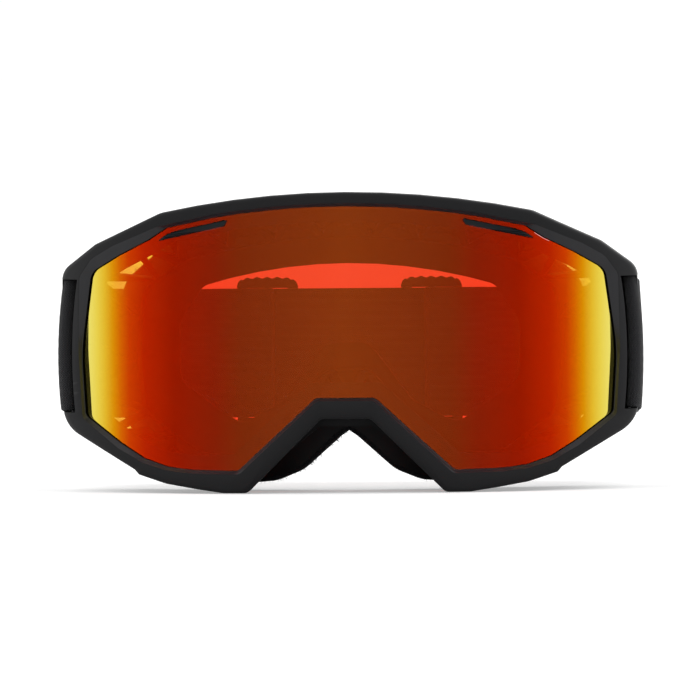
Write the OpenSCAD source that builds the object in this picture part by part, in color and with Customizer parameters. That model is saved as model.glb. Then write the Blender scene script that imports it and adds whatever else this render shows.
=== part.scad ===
// Ski goggles: a moulded front frame and vented chassis, a cylindrical double lens,
// layered face foam, and an elastic strap with two sliders.
// +X is the viewer's right, -Y is the lens side, +Z is up, and z = 0 is the resting surface.

/* [Overall] */
// Width of the moulded front frame
frame_w = 176.6; // [147:0.2:184]
// Height of the front frame, from its lower lobes to its crest
frame_h = 91.8; // [80:0.1:110]
// Depth from the frame's crest to the back of the strap sliders
overall_d = 150; // [130:1:190]

/* [Front frame] */
// Radius of the frame's cylindrical front face
face_r = 108; // [104:1:130]
// Depth of the front frame, along Y
frame_d = 12; // [9:0.5:16]
// How far the frame's lip stands in front of the lens
lip_d = 2; // [1.2:0.1:3]
// Height of the flat top of the nose arch
nose_h = 22.6; // [18:0.1:28]
// Half width of the flat top of the nose arch
nose_half_w = 7.7; // [5:0.1:10]
// Width of the frame's rim above the lens
rim_top = 4.3; // [3.5:0.1:6]
// Width of the frame's rim beside the lens
rim_side = 6.2; // [5.8:0.1:8]
// Width of the frame's rim below the lens
rim_bottom = 6.8; // [5:0.1:9]
// Width of the frame's rim over the nose
rim_nose = 6.4; // [5:0.1:8]

/* [Lens] */
// Thickness of the outer lens
lens_t = 1.2; // [0.8:0.1:2]
// Thickness of the inner lens
inner_lens_t = 0.8; // [0.5:0.1:1.5]
// Air gap between the two lenses, filled at its edge by the gasket
lens_air = 3.4; // [2:0.1:5]
// How far the frame's lip covers the lens edge
lens_lip = 1.2; // [0.8:0.1:2]
// Width of the foam gasket between the lenses
gasket_w = 4; // [2.5:0.1:6]
// Length of each vent slot in the outer lens
vent_l = 23; // [12:0.1:24]
// Height of each vent slot in the outer lens
vent_h = 1.9; // [1.4:0.1:3]

/* [Face chassis] */
// Radius of the face flange, seen from above
flange_r = 90; // [84:1:110]
// Distance from the frame's crest back to the face flange, on the centre line
flange_reach = 29; // [25:0.5:36]
// Thickness of the face flange
flange_t = 2.5; // [1.5:0.1:4]
// Thickness of the chassis's front ring, along Y
ring_t = 2.5; // [1.5:0.1:4]
// Width of a strut of the vented wall
strut_w = 2.6; // [1.6:0.1:4]
// Thickness of the vented wall
wall_t = 1.8; // [1.2:0.1:3]
// Number of vent bays round the wall
bays = 26; // [16:2:36]
// Thickness of the vent foam on the wall
vent_foam_t = 1.8; // [1:0.1:3]

/* [Face foam] */
// Thickness of the firm base layer
base_foam_t = 8; // [4:0.5:12]
// Thickness of the soft middle layer
mid_foam_t = 8; // [4:0.5:12]
// Thickness of the fleece liner
fleece_t = 3; // [1.5:0.5:5]

/* [Strap] */
// Width of the elastic webbing
strap_w = 40; // [30:0.5:46]
// Thickness of the elastic webbing
strap_t = 1.3; // [0.9:0.1:2]
// Height of the webbing's middle where it passes the frame's slots
strap_z = 44.7; // [40:0.1:50]
// Downward slope of the strap behind the frame, in degrees
strap_droop = 2.8; // [0:0.1:6]
// Radius of the strap's bend behind the head, at the middle of the webbing
strap_bend_r = 35; // [25:1:45]
// Thickness of the frame's bar that the strap wraps round
bar_t = 1.4; // [1.2:0.1:2]
// Depth of that bar, along Y
bar_d = 6; // [4:0.5:8]

/* [Sliders] */
// Width of a slider, along the strap
slider_w = 18.8; // [15:0.1:24]
// Height of the grip that a slider shows above and below the webbing
slider_grip = 3.1; // [2:0.1:5]
// Thickness of a slider's bars
slider_t = 1.6; // [1.2:0.1:2.4]
// Distance of the left slider from the centre line
slider_left_x = 29; // [22:0.5:36]
// Distance of the right slider from the centre line
slider_right_x = 22; // [22:0.5:36]

/* [Hidden] */

// Clearance of a lens edge in its seat
seat_gap = 0.15;
// Film of glue between bonded faces
bond_gap = 0.05;
// Clearance between webbing and what it runs on
web_gap = 0.2;
// Clearance above and below the webbing in the ears' slots, which the droop takes up
slot_end_gap = 1;
// Clearance between the vent foam and the wall that it lies on
vent_foam_gap = 0.6;
// Distance of the strap bar's back from the frame's back
bar_inset = 4;
// Depth of the ripples on a slider's grip
ripple = 0.5;
// Steps in a rounded corner
corner_steps = 5;
// Steps in a full turn of the curved faces
$arc_fn = 180;
// Longer than the object is deep, for cuts that run right through
through = 400;

w2 = frame_w / 2;
foot_x = nose_half_w + nose_h;
axis_y = face_r - overall_d / 2;
lens_r = face_r - lip_d;
inner_r = lens_r - lens_t - lens_air;
flange_axis_y = flange_reach + flange_r - overall_d / 2;
foam_y = flange_t + bond_gap;

// Where the strap bar and its slot stand in the frame's ears
bar_x0 = w2 - bar_t;
slot_x0 = bar_x0 - strap_t - 2 * web_gap;
slot_half_h = strap_w / 2 + slot_end_gap;
bar_back_y = axis_y - sqrt(pow(face_r, 2) - pow(w2, 2)) + frame_d - bar_inset;
bar_front_y = bar_back_y - bar_d;
wrap_r = bar_t / 2 + web_gap + strap_t / 2;
wrap_x = bar_x0 + bar_t / 2;
wrap_y = bar_front_y;
outer_web_x = wrap_x + wrap_r;
layer_pitch = strap_t + web_gap;

// The strap's back stretch, before it is tilted about the ears
slider_half_h = strap_w / 2 + 0.6 + web_gap + slider_grip;
sliders_back_y = wrap_y
    + (overall_d / 2 - wrap_y - slider_half_h * sin(strap_droop)) / cos(strap_droop);
rear_y = sliders_back_y - slider_t - web_gap - strap_t / 2;
tail_y = rear_y - layer_pitch;
rear_half_w = outer_web_x - strap_bend_r;

// ---- Outlines -------------------------------------------------------------

function unit(v) = v / norm(v);
function flat(p) = [p[0], p[1]];
function left_of(v) = [-v[1], v[0]];

// Rounds the corner at p, between the edges to a and b, to radius r
function corner(a, p, b, r) =
    let (u = unit(a - p), v = unit(b - p), half = acos(max(-1, min(1, u * v))) / 2,
         reach = min(r / tan(half), 0.45 * norm(a - p), 0.45 * norm(b - p)),
         rr = reach * tan(half), c = p + unit(u + v) * rr / sin(half),
         s = p + u * reach - c, e = p + v * reach - c,
         a0 = atan2(s[1], s[0]), turn = atan2(s[0] * e[1] - s[1] * e[0], s * e))
    [for (k = [0:corner_steps]) c + rr * [cos(a0 + turn * k / corner_steps),
                                          sin(a0 + turn * k / corner_steps)]];

// Turns [x, z, radius] points into a closed outline with rounded corners
function rounded(pts) =
    let (n = len(pts))
    [for (i = [0:n - 1]) each pts[i][2] == 0 ? [flat(pts[i])]
        : corner(flat(pts[(i + n - 1) % n]), flat(pts[i]), flat(pts[(i + 1) % n]), pts[i][2])];

// Completes a half outline, given from the top centre to the bottom centre, by its mirror image
function both_halves(half) =
    concat(half, [for (i = [len(half) - 1:-1:0]) if (half[i][0] > 0.01)
        [-half[i][0], half[i][1], half[i][2]]]);

// Moves the driving points of a clockwise outline outwards by d, before they are rounded
function moved(pts, d) =
    let (g = grow([for (p = pts) flat(p)], d))
    [for (i = [0:len(pts) - 1]) [g[i][0], g[i][1], pts[i][2]]];

// Moves a clockwise outline outwards by d
function grow(pts, d) =
    let (n = len(pts))
    [for (i = [0:n - 1])
        let (a = left_of(unit(pts[i] - pts[(i + n - 1) % n])),
             b = left_of(unit(pts[(i + 1) % n] - pts[i])))
        pts[i] + (a + b) * d / (1 + a * b)];

// A ribbon of width w that follows an open path
function ribbon(path, w) =
    let (n = len(path),
         side = [for (i = [0:n - 1])
             let (a = left_of(unit(path[max(i, 1)] - path[max(i, 1) - 1])),
                  b = left_of(unit(path[min(i, n - 2) + 1] - path[min(i, n - 2)])))
             (a + b) * w / 2 / (1 + a * b)])
    concat([for (i = [0:n - 1]) path[i] + side[i]],
           [for (i = [n - 1:-1:0]) path[i] - side[i]]);

function arc(c, r, from, to, n) =
    [for (k = [0:n]) let (t = from + (to - from) * k / n) c + r * [cos(t), sin(t)]];

// A point d in from the side. Past the ears, points close up towards the nose's
// foot as the frame narrows, so that the outlines never cross.
side_fixed = 10.8;
side_run = 47.2;
function from_side(d) = d <= side_fixed ? w2 - d
    : w2 - side_fixed - (d - side_fixed) * (w2 - side_fixed - foot_x) / side_run;

// The crest from the centre line out to half, falling by drop
function crest(half, top, drop) =
    [for (k = [0:4]) [half * k / 5, top - drop * pow(k / 5, 2), 0]];

// Outline of the moulded frame
function frame_half(arch_h) = concat(
    crest(from_side(31.4), frame_h, 6.2),
    [[from_side(31.4), frame_h - 6.2, 8],
     [w2 - 10.8, frame_h - 15.9, 4],
     [w2, frame_h - 24.2, 4],
     [w2, 20.5, 5],
     [from_side(22.9), 7, 0.5],
     [from_side(24.2), 5.5, 0.5],
     [from_side(32.7), 2.8, 10],
     [from_side(42.1), 1.2, 10],
     [from_side(50.3), 0, 6],
     [foot_x, 0, 2.5],
     [nose_half_w, arch_h, 3],
     [0, arch_h, 0]]);

// Outline of the opening that the lens shows through
function lens_half() = concat(
    crest(from_side(47.8), frame_h - rim_top, 3.4),
    [[from_side(47.8), frame_h - rim_top - 3.4, 2],
     [from_side(33.3), frame_h - rim_top - 6.5, 2],
     [from_side(27.8), frame_h - rim_top - 10.1, 4],
     [from_side(rim_side + 12.3), frame_h - 19.1, 8],
     [w2 - rim_side - 3.3, frame_h - 24.5, 5],
     [w2 - rim_side, 43, 60],
     [w2 - rim_side - 1.2, 23.4, 2.5],
     [from_side(18.5), rim_bottom + 8.3, 6],
     [from_side(25.9), rim_bottom + 3.7, 6],
     [from_side(33.3), rim_bottom + 1.2, 6],
     [from_side(40.7), rim_bottom + 0.3, 8],
     [nose_half_w + nose_h + 2.9, rim_bottom, 2.5],
     [nose_half_w + 1.4, nose_h + rim_nose, 3],
     [0, nose_h + rim_nose, 0]]);

// Outer edge of the face foam
function foam_half() = concat(
    crest(from_side(36), frame_h - 7.8, 4.5),
    [[from_side(36), frame_h - 12.3, 14],
     [from_side(18.3), frame_h - 27.8, 10],
     [from_side(14.8), 45, 30],
     [from_side(16.3), 24, 12],
     [from_side(27), 8, 8],
     [from_side(42), 0, 8],
     [34, 0, 5],
     [21, 3.6, 4],
     [13.5, 6.6, 4],
     [3, nose_h - 6, 4],
     [0, nose_h - 4.4, 0]]);

// Inner edge of the face foam, the opening that the wearer looks through
function eye_half() = concat(
    crest(from_side(43), frame_h - 21.3, 7),
    [[from_side(43), frame_h - 28.3, 6],
     [from_side(35.3), 52, 8],
     [from_side(35.3), 33, 8],
     [33, 19.4, 6],
     [19, 27, 6],
     [6, 44.7, 5],
     [0, 44.7, 0]]);

frame_outline = rounded(both_halves(frame_half(nose_h)));
ring_outline = rounded(moved(both_halves(frame_half(nose_h - 4)), -1.6));
opening = rounded(both_halves(lens_half()));
gasket_bore = rounded(moved(both_halves(lens_half()), -0.6 - gasket_w));
foam_outline = rounded(both_halves(foam_half()));
eye_outline = rounded(both_halves(eye_half()));

// The vented wall runs between these two loops, corner for corner
wall_front_half = concat(
    crest(from_side(36), frame_h - rim_top, 4.6),
    [[from_side(30), frame_h - rim_top - 7, 8],
     [w2 - rim_side - 3, frame_h - 24, 6],
     [w2 - rim_side, 43, 30],
     [w2 - rim_side - 1, 23, 6],
     [from_side(33), rim_bottom + 1, 8],
     [nose_half_w + nose_h + 3, rim_bottom, 4],
     [nose_half_w + 1.4, nose_h + rim_nose, 4],
     [0, nose_h + rim_nose, 0]]);
wall_back_half = concat(
    crest(from_side(44), frame_h - 15, 6),
    [[from_side(38), frame_h - 22.5, 8],
     [from_side(26.5), frame_h - 31, 8],
     [from_side(24.5), 43, 30],
     [from_side(26.5), 24, 8],
     [from_side(43), 12, 8],
     [30, 12, 6],
     [6.5, 38, 5],
     [0, 38, 0]]);
wall_front = rounded(both_halves(wall_front_half));
wall_back = rounded(both_halves(wall_back_half));
wall_front_out = rounded(moved(both_halves(wall_front_half), wall_t));
wall_back_out = rounded(moved(both_halves(wall_back_half), wall_t));
wall_n = len(wall_front);

// Distance along the wall's front loop at each of its points
wall_run = [for (i = 0, s = 0; i <= wall_n; s = s + (i < wall_n
        ? norm(wall_front[(i + 1) % wall_n] - wall_front[i]) : 0), i = i + 1) s];
wall_at = [for (i = [0:wall_n]) [wall_run[i] / wall_run[wall_n], i]];

// ---- Curved surfaces ------------------------------------------------------

function face_y(x, back) = axis_y - sqrt(pow(face_r, 2) - x * x) + back;
function flange_y(x, back) = flange_axis_y - sqrt(pow(flange_r, 2) - x * x) + back;

// Part of a closed loop at share t of its way round
function on_loop(loop, t) =
    let (i = lookup(t - floor(t), wall_at), k = floor(i), n = len(loop))
    loop[k % n] * (1 - i + k) + loop[(k + 1) % n] * (i - k);

// A point of the vented wall: t round it, v from front to back, o outwards
function on_wall(t, v, o) =
    let (s = o / wall_t,
         f = on_loop(wall_front, t) * (1 - s) + on_loop(wall_front_out, t) * s,
         b = on_loop(wall_back, t) * (1 - s) + on_loop(wall_back_out, t) * s,
         p = f * (1 - v) + b * v,
         y = face_y(f[0], frame_d + ring_t / 2) * (1 - v) + flange_y(b[0], flange_t / 2) * v)
    [p[0], y, p[1]];

// An outline drawn in X and Z, made solid along Y
module plate(pts) {
    rotate([90, 0, 0]) linear_extrude(height = through, center = true) polygon(pts);
}

// An upright cylinder of radius r about the line x = 0 at y, taller than the frame
module inside(r, y, over = 1) {
    translate([0, y, -over]) cylinder(r = r, h = frame_h + 2 * over, $fn = $arc_fn);
}

// The half of space in front of y, as wide as the frame
module before(y) {
    translate([-w2 - 20, -overall_d, -1]) cube([frame_w + 40, overall_d + y, frame_h + 2]);
}

// A shell about the lens axis, from radius r0 out to radius r1
module lens_shell(r0, r1) {
    intersection() {
        difference() {
            inside(r1, axis_y);
            inside(r0, axis_y, 2);
        }
        before(axis_y);
    }
}

// A layer of even depth along Y behind a cylindrical surface
module layer(r, y, from, to) {
    intersection() {
        difference() {
            inside(r, y + from);
            inside(r, y + to, 2);
        }
        before(y + from);
    }
}

// A bar of four-sided section that follows the wall from t0 to t1
module wall_strip(t0, t1, v0, v1, o0, o1, steps) {
    section = [[v0, o0], [v1, o0], [v1, o1], [v0, o1]];
    points = [for (i = [0:steps]) for (q = section)
        on_wall(t0 + (t1 - t0) * i / steps, q[0], q[1])];
    sides = [for (i = [0:steps - 1]) for (k = [0:3])
        let (a = 4 * i, b = a + 4, m = (k + 1) % 4)
        each [[a + k, b + k, b + m], [a + k, b + m, a + m]]];
    last = 4 * steps;
    ends = [[0, 1, 2], [0, 2, 3],
        [last + 3, last + 2, last + 1], [last + 3, last + 1, last]];
    polyhedron(points = points, faces = concat(sides, ends), convexity = 6);
}

// A rail right round the wall, from v0 to v1
module wall_rail(v0, v1) {
    section = [[v0, 0], [v1, 0], [v1, wall_t], [v0, wall_t]];
    polyhedron(
        points = [for (i = [0:wall_n - 1]) for (q = section)
            on_wall(wall_run[i] / wall_run[wall_n], q[0], q[1])],
        faces = [for (i = [0:wall_n - 1]) for (k = [0:3])
            let (a = 4 * i, b = 4 * ((i + 1) % wall_n), m = (k + 1) % 4)
            each [[a + k, b + k, b + m], [a + k, b + m, a + m]]],
        convexity = 6);
}

// One straight strut of the wall, from t0 at the front loop to t1 at the back loop
module strut(t0, t1) {
    half = strut_w / 2 / wall_run[wall_n];
    skin = 0.25;
    corners = [[t0 - half, 0.04], [t0 + half, 0.04], [t1 + half, 0.96], [t1 - half, 0.96]];
    polyhedron(
        points = concat([for (c = corners) on_wall(c[0], c[1], skin)],
                        [for (c = corners) on_wall(c[0], c[1], wall_t - skin)]),
        faces = [for (q = [[0, 1, 2, 3], [7, 6, 5, 4], [0, 4, 5, 1],
                           [1, 5, 6, 2], [2, 6, 7, 3], [3, 7, 4, 0]])
            each [[q[0], q[1], q[2]], [q[0], q[2], q[3]]]],
        convexity = 2);
}

module mirrored() {
    children();
    mirror([1, 0, 0]) children();
}

// ---- Frame and chassis ----------------------------------------------------

// The strap passes forwards through this slot and back round the bar outside it
module ear_slot() {
    translate([slot_x0, -overall_d, strap_z - slot_half_h])
        cube([bar_x0 - slot_x0, 2 * overall_d, 2 * slot_half_h]);
    translate([slot_x0, -overall_d, strap_z - slot_half_h])
        cube([40, overall_d + bar_front_y, 2 * slot_half_h]);
    translate([slot_x0, bar_back_y, strap_z - slot_half_h])
        cube([40, overall_d, 2 * slot_half_h]);
}

module front_frame() {
    color("#26262a")
    difference() {
        intersection() {
            plate(frame_outline);
            layer(face_r, axis_y, 0, frame_d);
        }
        plate(opening);
        intersection() {
            plate(grow(opening, lens_lip + seat_gap));
            inside(lens_r + seat_gap, axis_y);
        }
        mirrored() ear_slot();
    }
}

// Front ring, vented wall of struts and face flange, moulded in one
module face_chassis() {
    $arc_fn = 72;
    color("#1e1e22") {
        difference() {
            intersection() {
                plate(ring_outline);
                layer(face_r, axis_y, frame_d + bond_gap, frame_d + ring_t);
            }
            plate(grow(opening, -0.6));
            mirrored() ear_slot();
        }
        wall_rail(0, 0.14);
        wall_rail(0.88, 1);
        for (i = [0:bays - 1]) {
            strut(i / bays, (i + 0.5) / bays);
            strut((i + 1) / bays, (i + 0.5) / bays);
        }
        difference() {
            intersection() {
                plate(grow(foam_outline, -1.5));
                layer(flange_r, flange_axis_y, 0, flange_t);
            }
            plate(grow(eye_outline, -0.8));
        }
    }
}

// ---- Lens -----------------------------------------------------------------

// Long slot with pointed ends, near the brow
module vent_shape(l, h) {
    point = 2.6;
    translate([from_side(41.7), 0, frame_h - 11.4]) rotate([0, 12.5, 0]) plate(
        [[-l / 2, 0], [-l / 2 + point, h / 2], [l / 2 - point, h / 2],
         [l / 2, 0], [l / 2 - point, -h / 2], [-l / 2 + point, -h / 2]]);
}

module outer_lens() {
    color("#c2410c", 0.7)
    difference() {
        intersection() {
            plate(grow(opening, lens_lip));
            lens_shell(lens_r - lens_t, lens_r);
        }
        mirrored() vent_shape(vent_l, vent_h);
    }
}

module lens_gasket() {
    color("#18181b")
    difference() {
        intersection() {
            plate(grow(opening, -0.6));
            lens_shell(inner_r + bond_gap, lens_r - lens_t - bond_gap);
        }
        plate(gasket_bore);
    }
}

module inner_lens() {
    color("#7c2d12", 0.5)
    intersection() {
        plate(grow(opening, -0.6));
        lens_shell(inner_r - inner_lens_t, inner_r);
    }
}

// Dark screen set in the lens's vent slot, with a ridge along its middle
module lens_vent() {
    clear = 0.15;
    intersection() {
        vent_shape(vent_l - 4 * clear, vent_h - 2 * clear);
        lens_shell(lens_r - lens_t, lens_r - 0.5);
    }
    intersection() {
        vent_shape(vent_l - 4, 0.7);
        lens_shell(lens_r - 0.6, lens_r - 0.1);
    }
}

module lens_vent_right() {
    color("#111113") lens_vent();
}

module lens_vent_left() {
    color("#111113") mirror([1, 0, 0]) lens_vent();
}

// ---- Vent foam ------------------------------------------------------------

// Thin open-cell foam laid on the outside of the vented wall
module vent_foam(t0, t1) {
    color("#2c2c30")
    wall_strip(t0, t1, 0.17, 0.86, wall_t + vent_foam_gap, wall_t + vent_foam_t, 24);
}

module top_vent_foam() {
    vent_foam(0.865, 1.135);
}

module side_vent_foam_right() {
    vent_foam(0.205, 0.258);
}

module side_vent_foam_left() {
    vent_foam(0.742, 0.795);
}

module bottom_vent_foam_right() {
    vent_foam(0.302, 0.39);
}

module bottom_vent_foam_left() {
    vent_foam(0.61, 0.698);
}

// ---- Face foam ------------------------------------------------------------

module foam_layer(from, thick) {
    difference() {
        intersection() {
            plate(foam_outline);
            layer(flange_r, flange_axis_y, from, from + thick);
        }
        plate(eye_outline);
    }
}

module face_foam_base() {
    color("#3a3a3e") foam_layer(foam_y, base_foam_t - bond_gap);
}

module face_foam_mid() {
    color("#48484d") foam_layer(foam_y + base_foam_t, mid_foam_t - bond_gap);
}

module fleece_liner() {
    color("#1c1c1f") foam_layer(foam_y + base_foam_t + mid_foam_t, fleece_t);
}

// ---- Strap ----------------------------------------------------------------

// The strap slopes down towards the back, about the bars in the ears
module drooped() {
    translate([0, wrap_y, strap_z]) rotate([-strap_droop, 0, 0]) translate([0, -wrap_y, -strap_z])
        children();
}

// Webbing standing on edge, along a path seen from above
module webbing(path) {
    translate([0, 0, strap_z - strap_w / 2]) linear_extrude(height = strap_w)
        polygon(ribbon(path, strap_t));
}

// Doubled webbing from the back stretch to the ear: in along the inner layer,
// forwards through the slot, round the bar and back along the outer layer
module strap_side() {
    bend_y = rear_y - strap_bend_r;
    bend_x = outer_web_x - strap_bend_r;
    inner_x = wrap_x - wrap_r;
    path = concat(
        arc([bend_x, bend_y], strap_bend_r - layer_pitch, 90, 0, 14),
        [[outer_web_x - layer_pitch, wrap_y + 26], [inner_x, wrap_y + 9]],
        arc([wrap_x, wrap_y], wrap_r, 180, 360, 10),
        arc([bend_x, bend_y], strap_bend_r, 0, 90, 16));
    color("#202024") drooped() webbing(path);
}

module strap_right() {
    strap_side();
}

module strap_left() {
    mirror([1, 0, 0]) strap_side();
}

// Single layer between the two side sections
module strap_rear() {
    half = rear_half_w - web_gap;
    color("#202024") drooped() webbing([[-half, rear_y], [half, rear_y]]);
}

// End of the webbing: along the inner layer, round the slider's middle bar and sewn to itself
module strap_tail(x) {
    r = slider_t / 2 + web_gap + strap_t / 2;
    path = concat(
        [[rear_half_w - web_gap, tail_y]],
        arc([x, tail_y - r], r, 90, 270, 10),
        [[x + 2, tail_y - 2 * r], [x + 8, tail_y - layer_pitch], [x + 17, tail_y - layer_pitch]]);
    color("#202024") drooped() webbing(path);
}

module strap_tail_right() {
    strap_tail(slider_right_x);
}

module strap_tail_left() {
    mirror([1, 0, 0]) strap_tail(slider_left_x);
}

// ---- Sliders --------------------------------------------------------------

// Side view of a grip: quarter-round ends with five soft ripples between them
function grip_profile(half_w) = concat(
    [[-half_w, -0.6]],
    [for (k = [-20:20]) let (u = k / 20, ends = sqrt(1 - pow(abs(u), 3.5)),
         dip = abs(u) < 0.83 ? ripple * (1 - cos(360 * 3 * u)) / 2 : 0)
        [half_w * u, (slider_grip - 0.4 * (1 - u * u)) * ends - dip]],
    [[half_w, -0.6]]);

// Three-bar slider: the strap runs in front of the two side bars and behind the middle bar
module slider(x) {
    bar_y = tail_y - slider_t / 2 - web_gap - strap_t / 2;
    back_y = rear_y + strap_t / 2 + web_gap;
    side_w = 3.2;
    bar_w = 1.4;
    rail_z = strap_w / 2 + 0.6 + web_gap;
    front_y = bar_y - slider_t / 2;
    depth = back_y + slider_t - front_y;
    color("#2a2a2e") drooped() translate([x, 0, strap_z]) {
        translate([0, bar_y, 0]) {
            cylinder(d = slider_t, h = 2 * rail_z, center = true, $fn = 24);
            translate([0, -slider_t / 2, -rail_z]) cube([bar_w, slider_t, 2 * rail_z]);
        }
        for (s = [-1, 1]) {
            translate([s * (slider_w - side_w) / 2 - side_w / 2, back_y, -rail_z])
                cube([side_w, slider_t, 2 * rail_z]);
            mirror([0, 0, s > 0 ? 0 : 1]) translate([0, front_y, rail_z]) rotate([90, 0, 0])
                translate([0, 0, -depth]) linear_extrude(height = depth)
                    polygon(grip_profile(slider_w / 2));
        }
    }
}

module slider_right() {
    slider(slider_right_x);
}

module slider_left() {
    mirror([1, 0, 0]) slider(slider_left_x);
}

front_frame();
face_chassis();
outer_lens();
inner_lens();
lens_gasket();
lens_vent_left();
lens_vent_right();
top_vent_foam();
side_vent_foam_left();
side_vent_foam_right();
bottom_vent_foam_left();
bottom_vent_foam_right();
face_foam_base();
face_foam_mid();
fleece_liner();
strap_left();
strap_right();
strap_rear();
slider_left();
slider_right();
strap_tail_left();
strap_tail_right();
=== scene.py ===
import math

import bmesh
import bpy
import numpy as np
from mathutils import Matrix, Vector


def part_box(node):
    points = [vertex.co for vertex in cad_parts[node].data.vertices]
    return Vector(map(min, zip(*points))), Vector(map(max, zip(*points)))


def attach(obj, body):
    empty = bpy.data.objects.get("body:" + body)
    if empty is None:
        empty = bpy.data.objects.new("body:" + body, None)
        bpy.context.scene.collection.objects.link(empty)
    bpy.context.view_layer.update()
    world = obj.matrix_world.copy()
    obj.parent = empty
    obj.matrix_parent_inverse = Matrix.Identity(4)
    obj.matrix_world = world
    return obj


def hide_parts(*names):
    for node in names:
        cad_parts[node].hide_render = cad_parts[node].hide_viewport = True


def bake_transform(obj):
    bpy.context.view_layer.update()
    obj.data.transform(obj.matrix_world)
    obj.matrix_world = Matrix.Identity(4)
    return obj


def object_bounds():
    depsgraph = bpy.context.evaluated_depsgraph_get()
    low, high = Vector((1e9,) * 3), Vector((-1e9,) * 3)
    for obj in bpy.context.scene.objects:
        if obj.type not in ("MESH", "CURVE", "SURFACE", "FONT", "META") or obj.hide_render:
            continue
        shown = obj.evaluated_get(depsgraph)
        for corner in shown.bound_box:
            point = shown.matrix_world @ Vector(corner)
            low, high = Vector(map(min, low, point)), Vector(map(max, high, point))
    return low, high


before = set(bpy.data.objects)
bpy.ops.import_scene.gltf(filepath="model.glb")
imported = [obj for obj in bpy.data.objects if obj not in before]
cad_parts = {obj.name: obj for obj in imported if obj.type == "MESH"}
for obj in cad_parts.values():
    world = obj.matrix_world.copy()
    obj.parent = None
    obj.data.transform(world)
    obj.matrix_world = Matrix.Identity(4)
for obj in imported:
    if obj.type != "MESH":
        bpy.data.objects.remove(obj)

# Lengths are millimetres up to the point where a mesh is made
mm = 0.001
cadLow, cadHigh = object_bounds()
frameLow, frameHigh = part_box("front_frame")
print("frame loaded with", len(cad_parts), "nodes")

# What the pieces share: where the curved faces stand and how the strap runs
form = {
    "faceRadius": 108.0,
    "lensRadius": 106.0,
    "frameDepth": 12.0,
    "flangeRadius": 90.0,
    "flangeReach": 29.0,
    "webThickness": 1.3,
    "webWidth": 40.0,
    "webGap": 0.2,
    "webMiddleZ": 44.7,
    "webDroop": math.radians(2.8),
    "barThickness": 1.4,
    "barDepth": 6.0,
    "barInset": 4.0,
    "bendRadius": 35.0,
    "sliderThickness": 1.6,
    "sliderHalfHeight": 23.9,
    "noseHalfWidth": 7.7,
    "noseHeight": 22.6,
}
halfWide = frameHigh.x / mm
crestZ = frameHigh.z / mm
axisY = frameLow.y / mm + form["faceRadius"]
flangeAxisY = frameLow.y / mm + form["flangeReach"] + form["flangeRadius"]
hub = np.array([0.0, 55.0])


def crest(half, top, drop):
    return [(half * k / 5, top - drop * (k / 5) ** 2, 0) for k in range(5)]


def frameCorners(archZ):
    w, h = halfWide, crestZ
    footX = form["noseHalfWidth"] + form["noseHeight"]
    return crest(w - 31.4, h, 6.2) + [
        (w - 31.4, h - 6.2, 8), (w - 10.8, h - 15.9, 4), (w, h - 24.2, 6), (w, 20.5, 10),
        (w - 22.9, 7, 0.5), (w - 24.2, 5.5, 0.5), (w - 32.7, 2.8, 10), (w - 42.1, 1.2, 10),
        (w - 50.3, 0, 6), (footX, 0, 2.5), (form["noseHalfWidth"], archZ, 3), (0, archZ, 0)]


def lensCorners():
    w, h = halfWide, crestZ
    footX = form["noseHalfWidth"] + form["noseHeight"]
    archZ = form["noseHeight"] + 6.4
    return crest(w - 47.8, h - 4.3, 3.4) + [
        (w - 47.8, h - 7.7, 2), (w - 33.3, h - 10.8, 2), (w - 27.8, h - 14.4, 4),
        (w - 18.5, h - 19.1, 8), (w - 9.5, h - 24.5, 5), (w - 6.2, 43, 60),
        (w - 7.4, 23.4, 2.5), (w - 18.5, 15.1, 6), (w - 25.9, 10.5, 6), (w - 33.3, 8, 6),
        (w - 40.7, 7.1, 8), (footX + 2.9, 6.8, 2.5),
        (form["noseHalfWidth"] + 1.4, archZ, 3), (0, archZ, 0)]


def bevelCorners():
    # where the frame's face turns into the bevel that slopes down to the lens
    w, h = halfWide, crestZ
    footX = form["noseHalfWidth"] + form["noseHeight"]
    archZ = form["noseHeight"] + 6.4
    return crest(w - 47.8, h - 3.3, 3.3) + [
        (w - 47.8, h - 6.6, 2), (w - 30.4, h - 10.4, 4), (w - 16.2, h - 16.4, 6), (w - 9.5, h - 20.4, 6),
        (w - 5.6, h - 26, 4), (w - 5.2, 43, 60), (w - 6.3, 22.6, 3), (w - 17.6, 13.6, 6),
        (w - 25.4, 9.2, 6), (w - 33, 6.9, 6), (w - 40.7, 6, 8), (footX + 2.5, 5.7, 2.5),
        (form["noseHalfWidth"] + 1.0, archZ - 0.9, 3), (0, archZ - 0.9, 0)]


def foamCorners():
    w, h = halfWide, crestZ
    return crest(w - 36, h - 7.8, 4.5) + [
        (w - 36, h - 12.3, 14), (w - 18.3, h - 27.8, 10), (w - 14.8, 45, 30),
        (w - 16.3, 24, 12), (w - 27, 8.4, 8), (w - 42, 1.1, 8), (34, 1.9, 9), (22, 2.9, 12),
        (14, 6.2, 14), (2.6, form["noseHeight"] - 6.2, 5), (0, form["noseHeight"] - 4.4, 0)]


def eyeCorners():
    w, h = halfWide, crestZ
    return crest(w - 43, h - 21.3, 7) + [
        (w - 43, h - 28.3, 6), (w - 35.3, 52, 8), (w - 35.3, 33, 8), (33, 19.4, 6),
        (19, 27, 6), (6, 44.7, 5), (0, 44.7, 0)]


def bothHalves(half):
    return half + [(-x, z, r) for x, z, r in reversed(half) if x > 0.01]


def unit(v):
    return v / max(np.linalg.norm(v), 1e-12)


def leftOf(v):
    return np.array([-v[1], v[0]])


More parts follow.
